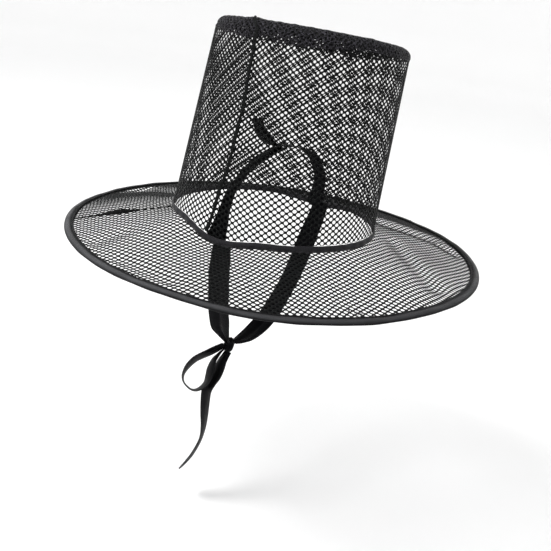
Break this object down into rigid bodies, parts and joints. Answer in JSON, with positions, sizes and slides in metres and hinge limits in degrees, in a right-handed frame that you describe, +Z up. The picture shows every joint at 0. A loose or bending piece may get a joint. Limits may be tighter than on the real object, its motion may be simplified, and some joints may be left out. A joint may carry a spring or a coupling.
{
  "type": "korean gat",
  "caption": "Tall round crown and wide gently waved brim of black open net, with a bound edge, an inner head strap and a ribbon tied under the chin.",
  "frame": {"origin": "middle of the round opening where the head goes in, at the mean level of the joint of crown and brim", "axes": "+Z up along the head, the wearer faces -Y, +X to the wearer's left"},
  "size_m": [0.374, 0.374, 0.4376],
  "materials": {
    "net": "stiff open net of black polyester, slightly glossy strands",
    "seam_tape": "doubled net and matt black tape",
    "binding": "smooth charcoal bias tape, soft sheen",
    "ribbon": "black satin ribbon"
  },
  "bodies": {
    "root": {"crown_side": "net", "crown_top": "net", "brim": "net", "crown_hem": "seam_tape", "crown_seam": "seam_tape", "brim_seam": "seam_tape", "crown_band": "seam_tape", "brim_binding": "binding", "strap_left": "ribbon", "strap_right": "ribbon", "chin_ribbon_left": "ribbon", "chin_ribbon_right": "ribbon", "chin_knot": "ribbon", "bow_loop": "ribbon", "ribbon_tail": "ribbon"}
  },
  "joints": []
}
